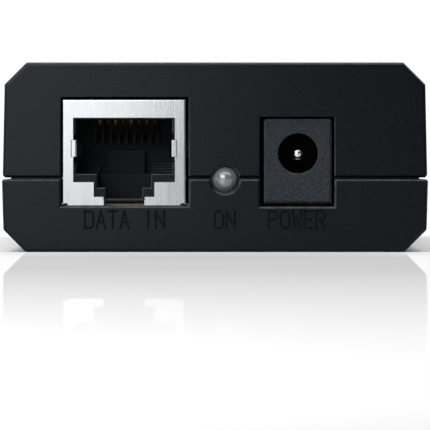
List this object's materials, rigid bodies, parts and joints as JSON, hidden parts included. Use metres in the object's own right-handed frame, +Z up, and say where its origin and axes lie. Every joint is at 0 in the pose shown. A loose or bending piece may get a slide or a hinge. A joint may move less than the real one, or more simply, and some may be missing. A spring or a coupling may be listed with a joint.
{
  "type": "power over ethernet injector",
  "caption": "Flat chamfered box with shielded network sockets at its ends, a barrel power socket and a round power lamp.",
  "frame": {"origin": "centre of the flat underside", "axes": "+X right when facing the power-input end, +Y from the power-input end to the power-output end, +Z up"},
  "size_m": [0.054, 0.0808, 0.024],
  "materials": {
    "case_plastic": "fine satin moulding",
    "screw_steel": "zinc plated",
    "label_paper": "matte",
    "board_laminate": "solder mask over glass laminate",
    "power_jack_plastic": "fine grain",
    "plated_pin": "polished plating",
    "tinned_leads": "tinned",
    "lamp_lens": "milky clear",
    "chip_plastic": "matte",
    "ferrite": "matte",
    "copper_winding": "enamelled copper",
    "can_aluminium": "satin",
    "capacitor_sleeve": "gloss",
    "fuse_plastic": "matte",
    "disc_coating": "dipped",
    "resistor_ceramic": "matte",
    "capacitor_ceramic": "satin",
    "shield_metal": "bright nickel plating",
    "jack_plastic": "satin",
    "contact_gold": "gold plated"
  },
  "bodies": {
    "housing": {"case_screws": "screw_steel", "chip_capacitors": "capacitor_ceramic", "chip_resistors": "resistor_ceramic", "choke_core": "ferrite", "choke_winding": "copper_winding", "circuit_board": "board_laminate", "input_capacitor_can": "can_aluminium", "input_capacitor_sleeve": "capacitor_sleeve", "input_fuse": "fuse_plastic", "input_fuse_leads": "tinned_leads", "lan_jack_contact_leads": "contact_gold", "lan_jack_housing": "jack_plastic", "lan_jack_rear_carrier": "jack_plastic", "lan_jack_shield": "shield_metal", "lan_transformer": "chip_plastic", "lan_transformer_leads": "tinned_leads", "lower_shell": "case_plastic", "out_jack_contact_leads": "contact_gold", "out_jack_housing": "jack_plastic", "out_jack_rear_carrier": "jack_plastic", "out_jack_shield": "shield_metal", "output_capacitor_can": "can_aluminium", "output_capacitor_sleeve": "capacitor_sleeve", "power_controller": "chip_plastic", "power_controller_leads": "tinned_leads", "power_jack_body": "power_jack_plastic", "power_jack_pin": "plated_pin", "power_jack_shunt": "tinned_leads", "power_jack_spring_terminal": "tinned_leads", "power_lamp": "lamp_lens", "power_lamp_leads": "tinned_leads", "shield_capacitor": "disc_coating", "shield_capacitor_leads": "tinned_leads", "surge_diode": "chip_plastic", "surge_diode_straps": "tinned_leads", "switch_transistor": "chip_plastic", "switch_transistor_tab": "tinned_leads", "underside_label": "label_paper", "upper_shell": "case_plastic"},
    "lan_contacts": {"lan_jack_contact_springs": "contact_gold"},
    "lan_ground_left": {"lan_jack_ground_spring_left": "shield_metal"},
    "lan_ground_right": {"lan_jack_ground_spring_right": "shield_metal"},
    "out_contacts": {"out_jack_contact_springs": "contact_gold"},
    "out_ground_left": {"out_jack_ground_spring_left": "shield_metal"},
    "out_ground_right": {"out_jack_ground_spring_right": "shield_metal"},
    "power_spring": {"power_jack_spring": "plated_pin"}
  },
  "joints": [
    {"name": "lan_contacts_flex", "type": "hinge", "parent": "housing", "child": "lan_contacts", "pos_m": [-0.01152, -0.03755, 0.01685], "axis": [1, 0, 0], "range_deg": [0, 9], "stiffness_Nm_per_rad": 0.1},
    {"name": "lan_ground_left_flex", "type": "hinge", "parent": "housing", "child": "lan_ground_left", "pos_m": [-0.01813, -0.03988, 0.01311], "axis": [0, 0, 1], "range_deg": [0, 8], "stiffness_Nm_per_rad": 0.05},
    {"name": "lan_ground_right_flex", "type": "hinge", "parent": "housing", "child": "lan_ground_right", "pos_m": [-0.00491, -0.03988, 0.01311], "axis": [0, 0, -1], "range_deg": [0, 8], "stiffness_Nm_per_rad": 0.05},
    {"name": "out_contacts_flex", "type": "hinge", "parent": "housing", "child": "out_contacts", "pos_m": [-0.01132, 0.03755, 0.01685], "axis": [-1, 0, 0], "range_deg": [0, 9], "stiffness_Nm_per_rad": 0.1},
    {"name": "out_ground_left_flex", "type": "hinge", "parent": "housing", "child": "out_ground_left", "pos_m": [-0.00471, 0.03988, 0.01311], "axis": [0, 0, 1], "range_deg": [0, 8], "stiffness_Nm_per_rad": 0.05},
    {"name": "out_ground_right_flex", "type": "hinge", "parent": "housing", "child": "out_ground_right", "pos_m": [-0.01793, 0.03988, 0.01311], "axis": [0, 0, -1], "range_deg": [0, 8], "stiffness_Nm_per_rad": 0.05},
    {"name": "power_spring_flex", "type": "hinge", "parent": "housing", "child": "power_spring", "pos_m": [0.01052, -0.0301, 0.0083], "axis": [1, 0, 0], "range_deg": [0, 6], "stiffness_Nm_per_rad": 0.08}
  ]
}
